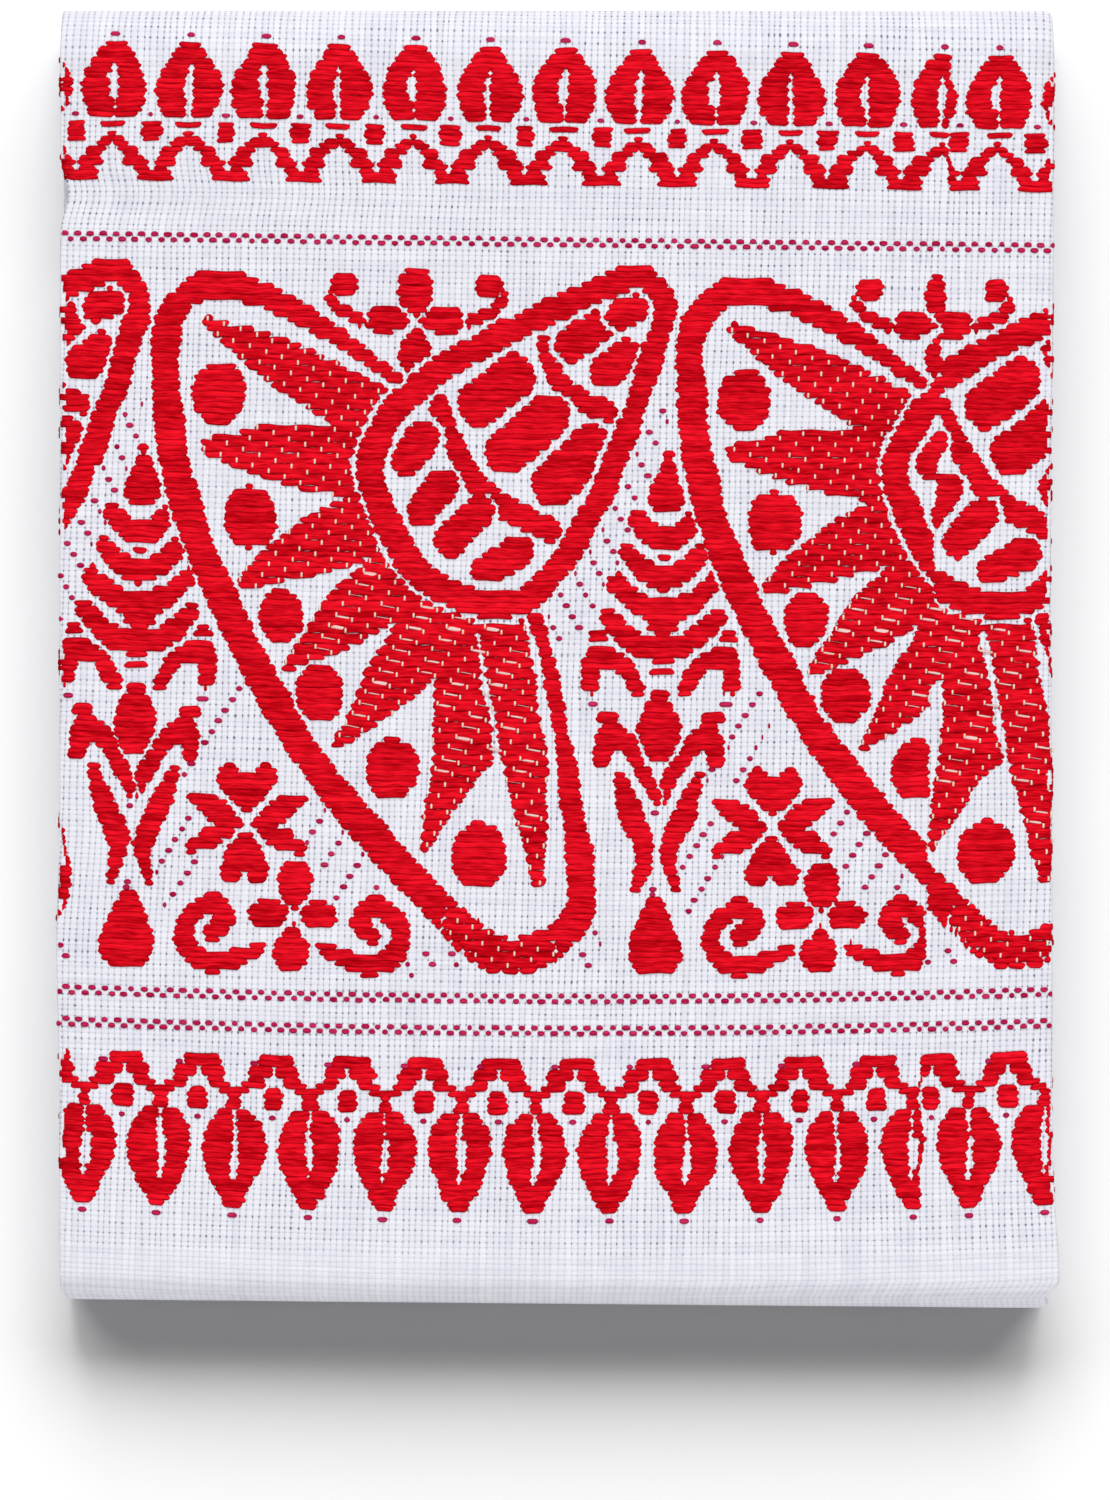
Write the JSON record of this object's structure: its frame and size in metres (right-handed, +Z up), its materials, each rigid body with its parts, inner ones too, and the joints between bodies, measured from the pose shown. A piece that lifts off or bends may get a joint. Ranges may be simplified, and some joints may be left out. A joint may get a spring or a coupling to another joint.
{
  "type": "folded handwoven cotton towel",
  "caption": "Folded handwoven white cotton towel with a red inlaid border, lying flat on its back with the decorated end on top and a soft doubled front edge.",
  "frame": {"origin": "on the surface that the towel lies on, under the middle of its box", "axes": "+Z up out of the decorated face, +Y towards the back edge where the towel's end falls over, +X to the right"},
  "size_m": [0.1784, 0.231, 0.0147],
  "materials": {
    "white_cotton": "matt plain-woven cotton with a visible warp and weft",
    "red_inlay": "soft thick red cotton pattern yarn floating on the white ground"
  },
  "bodies": {
    "root": {"towel": "white_cotton"}
  },
  "joints": []
}
